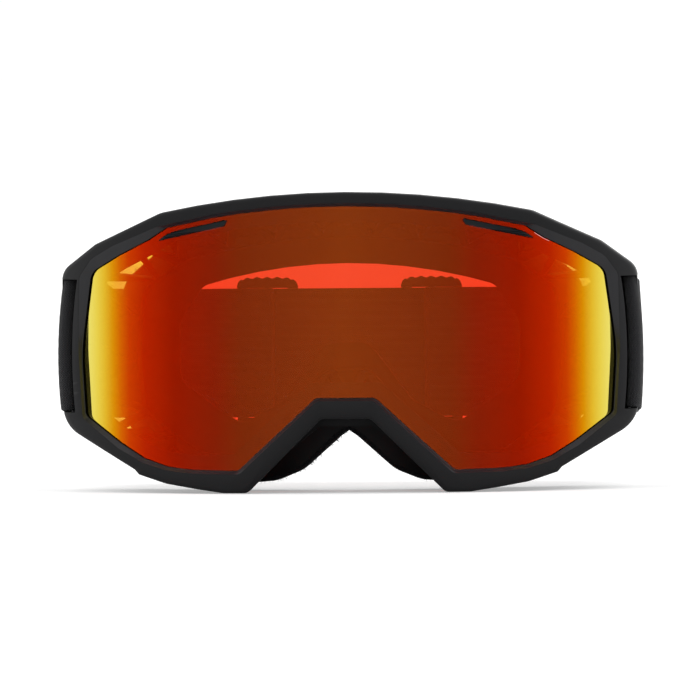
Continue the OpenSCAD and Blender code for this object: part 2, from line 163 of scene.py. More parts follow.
def moved(corners, d):
    # moves the corners of a clockwise outline outwards by d and keeps their radii
    p = [np.array(c[:2], float) for c in corners]
    out = []
    for i, c in enumerate(corners):
        a = leftOf(unit(p[i] - p[i - 1]))
        b = leftOf(unit(p[(i + 1) % len(p)] - p[i]))
        q = p[i] + (a + b) * d / (1 + a @ b)
        out.append((q[0], q[1], c[2]))
    return out


def rounded(corners, steps=8):
    p = [np.array(c[:2], float) for c in corners]
    out = []
    for i, c in enumerate(corners):
        if c[2] == 0:
            out.append(p[i])
            continue
        before, after = p[i - 1] - p[i], p[(i + 1) % len(p)] - p[i]
        u, v = unit(before), unit(after)
        half = math.acos(max(-1, min(1, u @ v))) / 2
        reach = min(c[2] / math.tan(half), 0.45 * np.linalg.norm(before),
                    0.45 * np.linalg.norm(after))
        radius = reach * math.tan(half)
        centre = p[i] + unit(u + v) * radius / math.sin(half)
        s, e = p[i] + u * reach - centre, p[i] + v * reach - centre
        start = math.atan2(s[1], s[0])
        turn = math.atan2(s[0] * e[1] - s[1] * e[0], s @ e)
        for k in range(steps + 1):
            t = start + turn * k / steps
            out.append(centre + radius * np.array([math.cos(t), math.sin(t)]))
    return np.array(out)


def finely(points, gap=0.2):
    rows = []
    for a, b in zip(points, np.roll(points, -1, axis=0)):
        n = max(1, int(np.linalg.norm(b - a) / gap))
        rows.append(a + (b - a) * np.arange(n)[:, None] / n)
    return np.vstack(rows)


def angles(points):
    d = points - hub
    return np.arctan2(d[:, 1], d[:, 0])


def spokesFor(*outlines, even=720):
    both = np.concatenate([np.linspace(-math.pi, math.pi, even, endpoint=False)]
                          + [angles(o) for o in outlines])
    both = np.unique(np.round(both, 5))
    return both[np.concatenate([[True], np.diff(both) > 4e-4])]


def onSpokes(points, spokes):
    # where a closed outline crosses each spoke from the hub
    p = finely(points)
    t = angles(p)
    r = np.linalg.norm(p - hub, axis=1)
    order = np.argsort(t)
    reach = np.interp(spokes, t[order], r[order], period=2 * math.pi)
    return hub + reach[:, None] * np.column_stack([np.cos(spokes), np.sin(spokes)])


def faceY(x, back=0.0):
    return axisY - np.sqrt(form["faceRadius"] ** 2 - x * x) + back


def lensY(x, radius=None):
    return axisY - np.sqrt((radius or form["lensRadius"]) ** 2 - x * x)


def flangeY(x, back=0.0):
    return flangeAxisY - np.sqrt(form["flangeRadius"] ** 2 - x * x) + back


def turnOutwards(mesh, merge=0.0):
    # turns every face outwards, once points closer than merge are one
    work = bmesh.new()
    work.from_mesh(mesh)
    if merge:
        bmesh.ops.remove_doubles(work, verts=work.verts, dist=merge)
    bmesh.ops.recalc_face_normals(work, faces=work.faces)
    work.to_mesh(mesh)
    work.free()


def makeMesh(name, verts, faces, material=None, sharpAt=35, smooth=True):
    mesh = bpy.data.meshes.new(name)
    mesh.from_pydata([tuple(v) for v in np.asarray(verts) * mm], [], faces)
    turnOutwards(mesh, merge=1e-7)
    return finishMesh(name, mesh, material, sharpAt, smooth)


def finishMesh(name, mesh, material=None, sharpAt=35, smooth=True):
    mesh.shade_smooth() if smooth else mesh.shade_flat()
    if smooth and sharpAt:
        mesh.set_sharp_from_angle(angle=math.radians(sharpAt))
    piece = bpy.data.objects.new(name, mesh)
    bpy.context.scene.collection.objects.link(piece)
    if material:
        mesh.materials.clear()
        mesh.materials.append(material)
    return piece


def loft(name, rings, material=None, sharpAt=35):
    # rings of equal length, joined into a tube that closes on itself both ways
    rings = np.asarray(rings)
    count, n = rings.shape[:2]
    faces = []
    for k in range(count):
        a, b = k * n, ((k + 1) % count) * n
        faces += [(a + i, a + (i + 1) % n, b + (i + 1) % n, b + i) for i in range(n)]
    return makeMesh(name, rings.reshape(-1, 3), faces, material, sharpAt)


def applied(piece):
    # turns a piece with modifiers into a plain mesh
    graph = bpy.context.evaluated_depsgraph_get()
    mesh = bpy.data.meshes.new_from_object(piece.evaluated_get(graph))
    old = piece.data
    piece.modifiers.clear()
    piece.data = mesh
    bpy.data.meshes.remove(old)
    mesh.name = piece.name
    return piece


def carve(piece, cutters):
    for cutter in cutters:
        mod = piece.modifiers.new("carve", "BOOLEAN")
        mod.operation = "DIFFERENCE"
        mod.solver = "EXACT"
        mod.object = cutter
    applied(piece)
    for cutter in cutters:
        bpy.data.objects.remove(cutter)
    piece.data.set_sharp_from_angle(angle=math.radians(35))
    return piece


def slatted(low, high, slats=24):
    # a box cut across into slats, so that it can be bowed
    zs = np.linspace(low[2], high[2], slats + 1)
    ring = [(low[0], low[1]), (high[0], low[1]), (high[0], high[1]), (low[0], high[1])]
    verts = [(x, y, z) for z in zs for x, y in ring]
    faces = [(0, 1, 2, 3), tuple(4 * slats + k for k in range(4))]
    faces += [(4 * i + k, 4 * i + (k + 1) % 4, 4 * i + 4 + (k + 1) % 4, 4 * i + 4 + k)
              for i in range(slats) for k in range(4)]
    return makeMesh("cutter", verts, faces, smooth=False)


def prism(points, y0, y1):
    n = len(points)
    verts = [(x, y, z) for y in (y0, y1) for x, z in points]
    faces = [tuple(range(n)), tuple(range(2 * n - 1, n - 1, -1))]
    faces += [(i, (i + 1) % n, n + (i + 1) % n, n + i) for i in range(n)]
    return makeMesh("cutter", verts, faces, smooth=False)


def nodeMaker(tree):
    def add(kind, links=None, **values):
        node = tree.nodes.new(kind)
        for key, value in values.items():
            setattr(node, key, value)
        for key, value in (links or {}).items():
            socket = node.inputs[key]
            if isinstance(value, bpy.types.NodeSocket):
                tree.links.new(value, socket)
            else:
                socket.default_value = value
        return node
    return add


def shaderGroup(name, inputs, outputs):
    tree = bpy.data.node_groups.new(name, "ShaderNodeTree")
    for label, value in inputs.items():
        socket = tree.interface.new_socket(label, in_out="INPUT", socket_type="NodeSocketFloat")
        socket.default_value = value
    for label, kind in outputs.items():
        tree.interface.new_socket(label, in_out="OUTPUT", socket_type=kind)
    return tree, nodeMaker(tree), tree.nodes.new("NodeGroupInput"), tree.nodes.new("NodeGroupOutput")


def buildMouldedGrain():
    # fine sandblasted skin of a moulding, with soft cloudy changes in gloss
    tree, add, into, out = shaderGroup(
        "mouldedGrain", {"Grain Size": 2500.0, "Grain Depth": 0.2, "Gloss Change": 0.06, "Roughness": 0.5},
        {"Normal": "NodeSocketVector", "Roughness": "NodeSocketFloat", "Shade": "NodeSocketFloat"})
    place = add("ShaderNodeTexCoord").outputs["Object"]
    grain = add("ShaderNodeTexNoise", {"Vector": place, "Scale": into.outputs["Grain Size"], "Detail": 3.0})
    bump = add("ShaderNodeBump", {"Strength": into.outputs["Grain Depth"], "Distance": 0.00008,
                                  "Height": grain.outputs[0]})
    cloud = add("ShaderNodeTexNoise", {"Vector": place, "Scale": 45.0, "Detail": 4.0})
    centred = add("ShaderNodeMath", {0: cloud.outputs[0], 1: 0.5}, operation="SUBTRACT")
    gloss = add("ShaderNodeMath", {0: centred.outputs[0], 1: into.outputs["Gloss Change"],
                                   2: into.outputs["Roughness"]}, operation="MULTIPLY_ADD")
    shade = add("ShaderNodeMapRange", {"Value": cloud.outputs[0], "To Min": 0.85, "To Max": 1.15})
    tree.links.new(bump.outputs[0], out.inputs["Normal"])
    tree.links.new(gloss.outputs[0], out.inputs["Roughness"])
    tree.links.new(shade.outputs[0], out.inputs["Shade"])
    return tree


def buildKnitWeave():
    # herringbone knit on the webbing's own UV map, which is in millimetres
    tree, add, into, out = shaderGroup(
        "knitWeave", {"Rib Pitch": 1.1, "Chevron Width": 3.2, "Depth": 0.7},
        {"Normal": "NodeSocketVector", "Shade": "NodeSocketFloat"})
    uv = add("ShaderNodeUVMap", uv_map="webbing").outputs[0]
    parts = add("ShaderNodeSeparateXYZ", {0: uv})
    fold = add("ShaderNodeMath", {0: parts.outputs[1], 1: into.outputs["Chevron Width"]},
               operation="PINGPONG")
    along = add("ShaderNodeMath", {0: fold.outputs[0], 1: 0.9, 2: parts.outputs[0]}, operation="MULTIPLY_ADD")
    turn = add("ShaderNodeMath", {0: along.outputs[0], 1: into.outputs["Rib Pitch"]}, operation="DIVIDE")
    circle = add("ShaderNodeMath", {0: turn.outputs[0], 1: 2 * math.pi}, operation="MULTIPLY")
    rib = add("ShaderNodeMath", {0: circle.outputs[0]}, operation="SINE")
    picks = add("ShaderNodeMath", {0: parts.outputs[1], 1: 9.0}, operation="MULTIPLY")
    pick = add("ShaderNodeMath", {0: picks.outputs[0]}, operation="SINE")
    mixed = add("ShaderNodeMath", {0: pick.outputs[0], 1: 0.35, 2: rib.outputs[0]}, operation="MULTIPLY_ADD")
    fuzz = add("ShaderNodeTexNoise", {"Vector": uv, "Scale": 3.0, "Detail": 3.0})
    height = add("ShaderNodeMath", {0: fuzz.outputs[0], 1: 1.6, 2: mixed.outputs[0]},
                 operation="MULTIPLY_ADD")
    bump = add("ShaderNodeBump", {"Strength": into.outputs["Depth"], "Distance": 0.00022,
                                  "Height": height.outputs[0]})
    # painted shade and highlight: the colour follows the knit's height, lighter on the ribs and darker in the
    # grooves
    shade = add("ShaderNodeMapRange", {"Value": height.outputs[0], "From Min": -1.0, "From Max": 2.4,
                                       "To Min": 0.35, "To Max": 1.7})
    tree.links.new(bump.outputs[0], out.inputs["Normal"])
    tree.links.new(shade.outputs[0], out.inputs["Shade"])
    return tree


def buildFoamCells():
    # open cells of a foam, or the tufts of a fleece
    tree, add, into, out = shaderGroup(
        "foamCells", {"Cell Size": 1400.0, "Depth": 0.8},
        {"Normal": "NodeSocketVector", "Shade": "NodeSocketFloat"})
    place = add("ShaderNodeTexCoord").outputs["Object"]
    cells = add("ShaderNodeTexVoronoi", {"Vector": place, "Scale": into.outputs["Cell Size"]})
    rough = add("ShaderNodeTexNoise", {"Vector": place, "Scale": 900.0, "Detail": 4.0})
    height = add("ShaderNodeMath", {0: rough.outputs[0], 1: 0.8, 2: cells.outputs["Distance"]},
                 operation="MULTIPLY_ADD")
    bump = add("ShaderNodeBump", {"Strength": into.outputs["Depth"], "Distance": 0.0003,
                                  "Height": height.outputs[0]})
    # painted shade: the colour follows the same height as the bump, darker in the pits between the cell walls
    shade = add("ShaderNodeMapRange", {"Value": height.outputs[0], "From Min": 0.2, "From Max": 1.2,
                                       "To Min": 0.45, "To Max": 1.5})
    tree.links.new(bump.outputs[0], out.inputs["Normal"])
    tree.links.new(shade.outputs[0], out.inputs["Shade"])
    return tree


groups = {"grain": buildMouldedGrain(), "knit": buildKnitWeave(), "cells": buildFoamCells()}


def startMaterial(name):
    material = bpy.data.materials.new(name)
    material.use_nodes = True
    tree = material.node_tree
    return material, tree, nodeMaker(tree), tree.nodes["Principled BSDF"]


def finish(name, group, colour, groupValues, **sockets):
    # a finish: one shared group drives colour, bump and, on plastics, roughness
    material, tree, add, shader = startMaterial(name)
    for key, value in sockets.items():
        shader.inputs[key.replace("_", " ")].default_value = value
    use = add("ShaderNodeGroup", node_tree=groups[group])
    for key, value in groupValues.items():
        use.inputs[key].default_value = value
    tint = add("ShaderNodeMix", {0: 1.0, 6: (*colour, 1), 7: use.outputs["Shade"]},
               data_type="RGBA", blend_type="MULTIPLY")
    tree.links.new(tint.outputs[2], shader.inputs["Base Color"])
    tree.links.new(use.outputs["Normal"], shader.inputs["Normal"])
    if "Roughness" in use.outputs:
        tree.links.new(use.outputs["Roughness"], shader.inputs["Roughness"])
    return material


finishes = {
    "frame": finish("frameMatteBlack", "grain", (0.0042, 0.0042, 0.005),
                    {"Grain Size": 2600.0, "Grain Depth": 0.25, "Roughness": 0.48},
                    Specular_IOR_Level=0.2),
    # painted light: the bevel's base colour is three times the face's, a lit copy of the frame plastic
    # standing in for the light the bevel catches; its lower roughness and stronger specular are a glossier
    # finish
    "bevel": finish("frameBevelSatinPaintedLight", "grain", (0.0125, 0.0125, 0.0145),
                    {"Grain Size": 2600.0, "Grain Depth": 0.15, "Roughness": 0.34},
                    Specular_IOR_Level=0.3),
    "gap": finish("frameShadowGap", "grain", (0.0012, 0.0014, 0.002), {"Grain Depth": 0.1, "Roughness": 0.7},
                  Specular_IOR_Level=0.05),
    "chassis": finish("chassisSatinBlack", "grain", (0.0035, 0.0035, 0.004),
                      {"Grain Size": 1800.0, "Grain Depth": 0.25, "Roughness": 0.5},
                      Specular_IOR_Level=0.16),
    "slider": finish("sliderBlack", "grain", (0.009, 0.009, 0.01),
                     {"Grain Size": 2200.0, "Grain Depth": 0.25, "Roughness": 0.45},
                     Specular_IOR_Level=0.3),
    "vent": finish("ventScreenBlack", "grain", (0.003, 0.0045, 0.006),
                   {"Grain Size": 3000.0, "Grain Depth": 0.3, "Roughness": 0.5},
                   Specular_IOR_Level=0.2),
    # painted shade: the gasket is black foam, but its base colour is pushed far below the other foams' to
    # stand in for the shade it sits in between the lenses
    "gasket": finish("gasketFoamPaintedShade", "cells", (0.001, 0.001, 0.001), {"Cell Size": 2600.0, "Depth": 0.3},
                     Roughness=1.0, Specular_IOR_Level=0.02),
    "ventFoam": finish("ventFoam", "cells", (0.012, 0.012, 0.013), {"Cell Size": 1100.0, "Depth": 1.0},
                       Roughness=0.95, Specular_IOR_Level=0.1),
    "foam": finish("faceFoam", "cells", (0.012, 0.012, 0.013), {"Cell Size": 1500.0, "Depth": 0.9},
                   Roughness=0.95, Specular_IOR_Level=0.1),
    "fleece": finish("fleeceBlack", "cells", (0.007, 0.007, 0.0075), {"Cell Size": 800.0, "Depth": 1.0},
                     Roughness=1.0, Specular_IOR_Level=0.08, Sheen_Weight=0.25, Sheen_Roughness=0.5),
    "web": finish("webbingBlack", "knit", (0.023, 0.023, 0.025),
                  {"Rib Pitch": 0.62, "Chevron Width": 1.35, "Depth": 0.8},
                  Roughness=0.85, Specular_IOR_Level=0.2, Sheen_Weight=0.12, Sheen_Roughness=0.4),
    "thread": finish("threadBlack", "cells", (0.016, 0.016, 0.018), {"Cell Size": 4000.0, "Depth": 0.4},
                     Roughness=0.6, Specular_IOR_Level=0.3),
}
print("finishes made:", len(finishes))


lensLook = {
    "widest": 83,
    # distance in mm, colour the mirror gives back, share of light it stops; the turn to yellow and the rising
    # share towards the sides are partly painted reflection, the coating's change with viewing angle and the
    # studio light it mirrors there
    "mirror": [(0, (132, 53, 13), 0.27), (22, (124, 45, 11), 0.26), (32, (122, 40, 8), 0.26),
               (40, (132, 29, 5), 0.27), (53, (150, 23, 0), 0.31), (62, (181, 33, 0), 0.47),
               (67, (200, 60, 0), 0.62), (69.6, (211, 98, 0), 0.72), (72.2, (219, 145, 2), 0.82),
               (74.8, (229, 186, 42), 0.9), (77.2, (235, 210, 74), 0.94), (80.5, (241, 228, 112), 0.96),
               (83, (244, 232, 124), 0.96)],
    # tint of the inner lens
    "tint": [(0, (1.0, 0.052, 0.03)), (50, (1.0, 0.06, 0.02)), (58, (1.0, 0.95, 0.06)),
             (83, (1.0, 0.97, 0.2))],
}


def linear(c):
    c = c / 255
    return c / 12.92 if c <= 0.04045 else ((c + 0.055) / 1.055) ** 2.4


def fromCentre(add):
    # distance from the centre line, as a share of the widest stop
    place = add("ShaderNodeTexCoord").outputs["Object"]
    x = add("ShaderNodeSeparateXYZ", {0: place}).outputs[0]
    away = add("ShaderNodeMath", {0: x}, operation="ABSOLUTE")
    share = add("ShaderNodeMapRange", {"Value": away.outputs[0], "From Max": lensLook["widest"] * mm})
    return share.outputs[0]


def ramp(add, source, stops):
    node = add("ShaderNodeValToRGB", {0: source})
    elements = node.color_ramp.elements
    while len(elements) < len(stops):
        elements.new(0.5)
    for element, (at, colour) in zip(elements, stops):
        element.position = at / lensLook["widest"]
        element.color = (*colour, 1)
    node.color_ramp.interpolation = "LINEAR"
    return node.outputs[0]


def lensMaterials():
    mirror, tree, add, shader = startMaterial("mirrorRedYellowPaintedReflection")
    away = fromCentre(add)
    shown = [(at, tuple(min(1.0, linear(v) / max(share, linear(max(colour)))) for v in colour), share)
             for at, colour, share in lensLook["mirror"]]
    given = [(at, colour) for at, colour, share in shown]
    stopped = [(at, (share, share, share)) for at, colour, share in shown]
    # painted reflection: base colour and alpha follow the distance from the centre line, standing in for the
    # coating's change of colour and reflection with viewing angle; the red mirror itself is the coating's own
    # colour
    tree.links.new(ramp(add, away, given), shader.inputs["Base Color"])
    tree.links.new(ramp(add, away, stopped), shader.inputs["Alpha"])
    shader.inputs["Metallic"].default_value = 1.0
    shader.inputs["Roughness"].default_value = 0.04

    tinted, tree, add, shader = startMaterial("innerLensRose")
    tree.links.new(ramp(add, fromCentre(add), lensLook["tint"]), shader.inputs["Base Color"])
    shader.inputs["Transmission Weight"].default_value = 1.0
    shader.inputs["Roughness"].default_value = 0.0
    shader.inputs["IOR"].default_value = 1.05
    shader.inputs["Specular IOR Level"].default_value = 0.1

    clear, tree, add, shader = startMaterial("lensClearBack")
    place = add("ShaderNodeTexCoord").outputs["Object"]
    haze = add("ShaderNodeTexNoise", {"Vector": place, "Scale": 60.0, "Detail": 2.0})
    faint = add("ShaderNodeMapRange", {"Value": haze.outputs[0], "To Min": 0.01, "To Max": 0.025})
    tree.links.new(faint.outputs[0], shader.inputs["Alpha"])
    shader.inputs["Base Color"].default_value = (0.25, 0.04, 0.01, 1)
    shader.inputs["Roughness"].default_value = 0.05
    return mirror, tinted, clear


mirrorFinish, tintedFinish, clearFinish = lensMaterials()


frontFrame = {
    "edgeRound": 1.2,     # radius of the outer edge
    "noseChamfer": 1.9,   # extra width of that edge round the nose arch
    "earBow": 1.8,        # how far the ends of an ear slot stand in from its middle
    "lipCover": 1.2,      # how far the lip covers the lens
    "seatGap": 0.15,
    "slotBelow": 0.5,     # room in the slot below the strap
    "slotAbove": 0.35,    # and above it
    "cutFront": -80,      # where the cuts in an ear start and end, clear of the frame
    "cutBack": 30,
    "cutOut": 8,
    "bevelInset": 0.25,   # how far outside the lens opening the bevel ends
    "edgeSteps": 7,
    # the bevel's rings: how far in, and how deep, as shares
    "bevel": [(-0.12, 0.0), (0.0, 0.02), (0.1, 0.09), (0.5, 0.34), (0.9, 0.6), (1, 0.68)],
}


def earBow(z):
    # the strap bar in an ear bows outwards in the middle
    return -frontFrame["earBow"] * ((z - 41) / 24) ** 2


def bowed(piece, side):
    for v in piece.data.vertices:
        v.co.x += side * earBow(v.co.z / mm) * mm
    return piece


def earBlocks(side):
    # the slot in an ear, and the recesses in front of and behind the strap bar
    barOut = halfWide
    barIn = barOut - form["barThickness"]
    slotIn = barIn - form["webThickness"] - 2 * form["webGap"]
    backY = faceY(halfWide) + form["frameDepth"] - form["barInset"]
    frontY = backY - form["barDepth"]
    low = form["webMiddleZ"] - form["webWidth"] / 2 - frontFrame["slotBelow"]
    high = form["webMiddleZ"] + form["webWidth"] / 2 + frontFrame["slotAbove"]
    first, last, out = frontFrame["cutFront"], frontFrame["cutBack"], barOut + frontFrame["cutOut"]
    spans = [((slotIn, first, low), (barIn, last, high)),
             ((slotIn, first, low), (out, frontY, high)),
             ((slotIn, backY, low), (out, last, high))]
    blocks = []
    for a, b in spans:
        x = sorted((side * a[0], side * b[0]))
        blocks.append(bowed(slatted((x[0], a[1], a[2]), (x[1], b[1], b[2])), side))
    return blocks


def makeFrontFrame():
    outer = bothHalves(frameCorners(form["noseHeight"]))
    inner, bevel = bothHalves(lensCorners()), bothHalves(bevelCorners())
    spokes = spokesFor(rounded(outer), rounded(inner), rounded(bevel))
    r = frontFrame["edgeRound"]
    under = frontFrame["lipCover"] + frontFrame["seatGap"]
    edge = onSpokes(rounded(outer), spokes)
    # the edge is cut back further round the nose arch
    nose = np.clip((34 - np.abs(edge[:, 0])) / 5, 0, 1) * np.clip((30 - edge[:, 1]) / 4, 0, 1)

    def ring(corners, d, y):
        p = onSpokes(rounded(moved(corners, d)), spokes)
        return np.column_stack([p[:, 0], y(p[:, 0]), p[:, 1]])

    def between(share):
        # part of the way from the frame's face back to the lens
        return lambda x: faceY(x) + share * (lensY(x) - faceY(x))

    def slope(t, depth):
        # part of the way from the bevel's outer edge in to the lens opening
        a = onSpokes(rounded(bevel), spokes)
        b = onSpokes(rounded(moved(inner, frontFrame["bevelInset"])), spokes)
        p = a * (1 - t) + b * t
        return np.column_stack([p[:, 0], between(depth)(p[:, 0]), p[:, 1]])

    rings = [ring(outer, 0, lambda x, k=k: faceY(x, k)) for k in (12, 9, 6, 3, r + 0.5)]
    inward = onSpokes(rounded(moved(outer, -1.0)), spokes) - edge
    for k in range(frontFrame["edgeSteps"]):
        t = math.radians(15 * k)
        p = edge + inward * (r + frontFrame["noseChamfer"] * nose)[:, None] * (1 - math.cos(t))
        rings.append(np.column_stack([p[:, 0], faceY(p[:, 0]) + r * (1 - math.sin(t)), p[:, 1]]))
    rings += [slope(t, depth) for t, depth in frontFrame["bevel"]]
    gapFrom = len(rings)
    bevelFrom = gapFrom - len(frontFrame["bevel"]) + 1
    rings += [ring(inner, 0.08, between(0.74)), ring(inner, 0, between(0.8)), ring(inner, 0, between(0.97)),
              ring(inner, under, between(0.97)), ring(inner, under, lambda x: faceY(x, form["frameDepth"]))]
    piece = loft("bezel", rings, finishes["frame"])
    piece.data.materials.append(finishes["gap"])
    piece.data.materials.append(finishes["bevel"])
    count = len(spokes)
    for face in piece.data.polygons:
        k = [v // count for v in face.vertices]
        if min(k) >= gapFrom and max(k) <= gapFrom + 3:
            # painted shade: the lip's inner wall is near-black to stand in for the shade in the gap over the
            # lens
            face.material_index = 1
        elif min(k) >= bevelFrom and max(k) <= gapFrom:
            # the bevel takes the lit copy of the frame plastic: painted light
            face.material_index = 2
    carve(piece, earBlocks(1) + earBlocks(-1))
    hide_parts("front_frame")
    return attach(piece, "goggles")


makeFrontFrame()
print("front frame made")


def lensEdges(corners, grown):
    # top and bottom edge of the lens outline as functions of x
    p = finely(rounded(moved(bothHalves(corners), grown)), 0.1)
    right = p[:, 0].argmax()
    left = p[:, 0].argmin()
    start, stop = sorted((right, left))
    one, two = p[start:stop + 1], np.vstack([p[stop:], p[:start + 1]])
    top, bottom = (one, two) if one[:, 1].mean() > two[:, 1].mean() else (two, one)
    curves = [lambda x, e=e[np.argsort(e[:, 0])]: np.interp(x, e[:, 0], e[:, 1]) for e in (top, bottom)]
    return curves, p[:, 0].max()


def makeLens(name, grown, radius, thickness, material, inside=None, columns=300, rows=16):
    (top, bottom), reach = lensEdges(lensCorners(), grown)
    x = reach * np.sin(np.linspace(-math.pi / 2, math.pi / 2, columns + 1))
    share = np.linspace(0, 1, rows + 1)
    z = bottom(x)[:, None] + (top(x) - bottom(x))[:, None] * share[None, :]
    grid = np.repeat(x[:, None], rows + 1, 1)
    front = np.stack([grid, lensY(grid, radius), z], -1).reshape(-1, 3)
    back = np.stack([grid, lensY(grid, radius - thickness), z], -1).reshape(-1, 3)
    n, m = columns + 1, rows + 1
    faces = []
    for i in range(columns):
        for j in range(rows):
            a, b = i * m + j, (i + 1) * m + j
            faces.append((a, b, b + 1, a + 1))
            faces.append((n * m + a, n * m + a + 1, n * m + b + 1, n * m + b))
    for i in range(columns):
        for j in (0, rows):
            a, b = i * m + j, (i + 1) * m + j
            faces.append((a, n * m + a, n * m + b, b))
    piece = makeMesh(name, np.vstack([front, back]), faces, material, sharpAt=40)
    if inside:
        # the coating is on the front face only
        piece.data.materials.append(inside)
        for face in piece.data.polygons:
            x, y, z = face.center / mm
            if y > lensY(x, radius - thickness / 2):
                face.material_index = 1
    return piece


lensVent = {
    "length": 23.0,
    "height": 1.9,
    "tilt": math.radians(-12.5),
    "inset": 41.7,
    "drop": 11.4,
    "cut": (-80, -30),
    "fit": 0.03,
    "sunk": 0.45,
    # the screen's rings: share of the slot's size, and height of the ridge there
    "ridges": [(1, -0.9), (1, 0.25), (0.93, 0.4), (0.8, 0.3), (0.62, 0.42), (0.45, 0.3), (0.2, 0.45)],
}


def ventOutline(side, shrink=0.0):
    # long slot with a swept outer end and a slanting inner one
    l, h = lensVent["length"] / 2 - shrink * 1.5, lensVent["height"] / 2 - shrink
    corners = [(-l, h * 0.9, 0.5), (l - 6.5, h * 1.05, 12), (l - 3.0, h * 0.6, 6), (l, -h * 0.85, 0.4),
               (l - 1.2, -h, 0.8), (-l + 1.7, -h, 0.7)]
    p = rounded(corners, 6)
    c, s = math.cos(lensVent["tilt"]), math.sin(lensVent["tilt"])
    centre = np.array([halfWide - lensVent["inset"], crestZ - lensVent["drop"]])
    p = p @ np.array([[c, s], [-s, c]]) + centre
    return p * np.array([side, 1])


lenses = {
    # how far each lens runs under its lip, its front radius and its thickness
    "outer": {"grown": 1.2, "radius": form["lensRadius"], "thickness": 1.2},
    "inner": {"grown": -0.6, "radius": 101.4, "thickness": 0.8},
}
outerLens = makeLens("outer_lens_shell", material=mirrorFinish, inside=clearFinish, **lenses["outer"])
carve(outerLens, [prism(ventOutline(s), *lensVent["cut"]) for s in (1, -1)])
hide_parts("outer_lens")
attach(outerLens, "goggles")

innerLens = makeLens("inner_lens_shell", material=tintedFinish, **lenses["inner"])
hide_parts("inner_lens")
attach(innerLens, "goggles")
print("lenses made")


def makeLensVent(side, label):
    # a dark bar with two ridges, set in the slot
    outline = ventOutline(side, lensVent["fit"])
    centre = outline.mean(axis=0)
    rings = []
    for scale, lift in lensVent["ridges"]:
        p = centre + (outline - centre) * np.array([scale ** 0.35, scale])
        rings.append(np.column_stack([p[:, 0], lensY(p[:, 0]) - lift + lensVent["sunk"], p[:, 1]]))
    n = len(outline)
    verts = np.vstack(rings)
    faces = [tuple(range(n)), tuple(range(len(verts) - n, len(verts)))]
    for k in range(len(rings) - 1):
        a, b = k * n, (k + 1) * n
        faces += [(a + i, a + (i + 1) % n, b + (i + 1) % n, b + i) for i in range(n)]
    piece = makeMesh("vent_screen_" + label, verts, faces, finishes["vent"])
    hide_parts("lens_vent_" + label)
    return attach(piece, "goggles")


makeLensVent(1, "right")
makeLensVent(-1, "left")


faceFoam = {
    # front and back of each layer behind the flange, and how far its sides give
    "face_foam_base": {"from": 2.6, "to": 10.5, "pinch": 0.5, "slot": "face_foam", "finish": "foam"},
    "face_foam_mid": {"from": 10.6, "to": 18.5, "pinch": 0.7, "slot": "face_foam", "finish": "foam"},
    "fleece_liner": {"from": 18.6, "to": 21.4, "pinch": 1.1, "slot": "fleece", "finish": "fleece"},
}


foamShape = {
    "even": 540,
    "steps": 8,
    "seed": 11,
    "waves": (3, 22),     # how many times the cut edge wanders in and out, from and to
    "wander": 0.2,
    "clear": 0.15,
    "crown": 0.12,
    "fill": 0.8,
}


def makeFoamLayer(node, facts, seed):
    outer, inner = bothHalves(foamCorners()), bothHalves(eyeCorners())
    spokes = spokesFor(rounded(outer), rounded(inner), even=foamShape["even"])
    rng = np.random.default_rng(seed)
    waves = [rng.normal() * np.cos(k * spokes + rng.uniform(0, 6.28)) / k for k in range(*foamShape["waves"])]
    wobble = sum(waves) * foamShape["wander"]
    depth = facts["to"] - facts["from"]
    rings = []

    def ring(corners, d, back):
        p = onSpokes(rounded(moved(corners, d)), spokes)
        away = wobble[:, None] * (p - hub) / np.linalg.norm(p - hub, axis=1)[:, None]
        p = p + away * math.sin(math.pi * min(1, max(0, (back - facts["from"]) / depth)))
        return np.column_stack([p[:, 0], flangeY(p[:, 0], back), p[:, 1]])

    steps, clear = foamShape["steps"], foamShape["clear"]
    for k in range(steps + 1):
        t = k / steps
        give = facts["pinch"] * (abs(2 * t - 1) ** 3)
        rings.append(ring(outer, -clear - give, facts["from"] + depth * t))
    a = rings[steps][:, [0, 2]]
    b = onSpokes(rounded(moved(inner, clear + facts["pinch"])), spokes)
    for t in (0.25, 0.5, 0.75):
        p = a * (1 - t) + b * t
        crown = foamShape["crown"] * math.sin(math.pi * t)
        rings.append(np.column_stack([p[:, 0], flangeY(p[:, 0], facts["to"] + crown), p[:, 1]]))
    for k in range(steps + 1):
        t = 1 - k / steps
        give = facts["pinch"] * (abs(2 * t - 1) ** 3)
        rings.append(ring(inner, clear + give, facts["from"] + depth * t))
    piece = loft(node + "_soft", rings, finishes[facts["finish"]], sharpAt=60)
    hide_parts(node)
    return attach(piece, "goggles")


foamPieces = {node: makeFoamLayer(node, facts, foamShape["seed"] + i)
              for i, (node, facts) in enumerate(faceFoam.items())}
print("face foam made")


def geometryTree(name, inputs):
    tree = bpy.data.node_groups.new(name, "GeometryNodeTree")
    tree.interface.new_socket("Geometry", in_out="INPUT", socket_type="NodeSocketGeometry")
    for label, (kind, value) in inputs.items():
        socket = tree.interface.new_socket(label, in_out="INPUT", socket_type="NodeSocket" + kind)
        if kind != "Material":
            socket.default_value = value
    tree.interface.new_socket("Geometry", in_out="OUTPUT", socket_type="NodeSocketGeometry")
    return tree, nodeMaker(tree), tree.nodes.new("NodeGroupInput"), tree.nodes.new("NodeGroupOutput")


def closeTree(tree, add, into, out, instances):
    real = add("GeometryNodeRealizeInstances", {0: instances})
    painted = add("GeometryNodeSetMaterial", {
        "Geometry": real.outputs[0], "Material": into.outputs["Finish"]})
    tree.links.new(painted.outputs[0], out.inputs[0])


